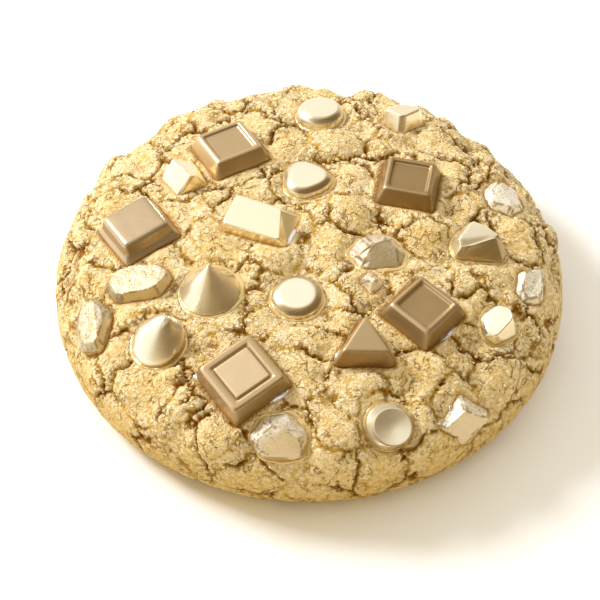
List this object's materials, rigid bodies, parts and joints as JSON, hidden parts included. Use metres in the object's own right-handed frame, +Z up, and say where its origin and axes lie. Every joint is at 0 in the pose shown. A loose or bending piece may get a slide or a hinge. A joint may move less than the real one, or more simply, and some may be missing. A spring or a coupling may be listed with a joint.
{
  "type": "chocolate chip cookie",
  "caption": "Thick, domed round cookie with a cracked, crumbly crown and half-sunk chocolate squares, drops and chopped nuggets, resting on its flat base.",
  "frame": {"origin": "centre of the flat base", "axes": "+Z up through the crown; -Y towards the viewer as pictured, +X to the viewer's right"},
  "size_m": [0.11, 0.11, 0.0347],
  "materials": {
    "dough": "matte, crumbly baked dough with a golden tint",
    "bronze_chocolate": "satin chocolate with a bronze lustre",
    "gold_chocolate": "satin chocolate with a pale gold lustre",
    "foil_chocolate": "crinkled, chopped chocolate with a white-gold lustre"
  },
  "bodies": {
    "root": {"dough": "dough", "button_back": "gold_chocolate", "nugget_back": "gold_chocolate", "bar_square_back_left": "bronze_chocolate", "block_left": "gold_chocolate", "pillow_square": "bronze_chocolate", "rounded_triangle": "gold_chocolate", "bar_block": "gold_chocolate", "bar_square_back_right": "bronze_chocolate", "foil_nugget_right": "foil_chocolate", "faceted_chip": "gold_chocolate", "nugget_middle": "foil_chocolate", "shard": "foil_chocolate", "foil_block_right": "foil_chocolate", "bar_square_right": "bronze_chocolate", "chip_right": "gold_chocolate", "foil_bar": "foil_chocolate", "cone_drop": "gold_chocolate", "button_middle": "gold_chocolate", "foil_lump_left": "foil_chocolate", "kiss_drop": "gold_chocolate", "bar_square_front": "gold_chocolate", "triangle": "bronze_chocolate", "nugget_front": "foil_chocolate", "button_front": "gold_chocolate", "cube_front": "foil_chocolate"}
  },
  "joints": []
}
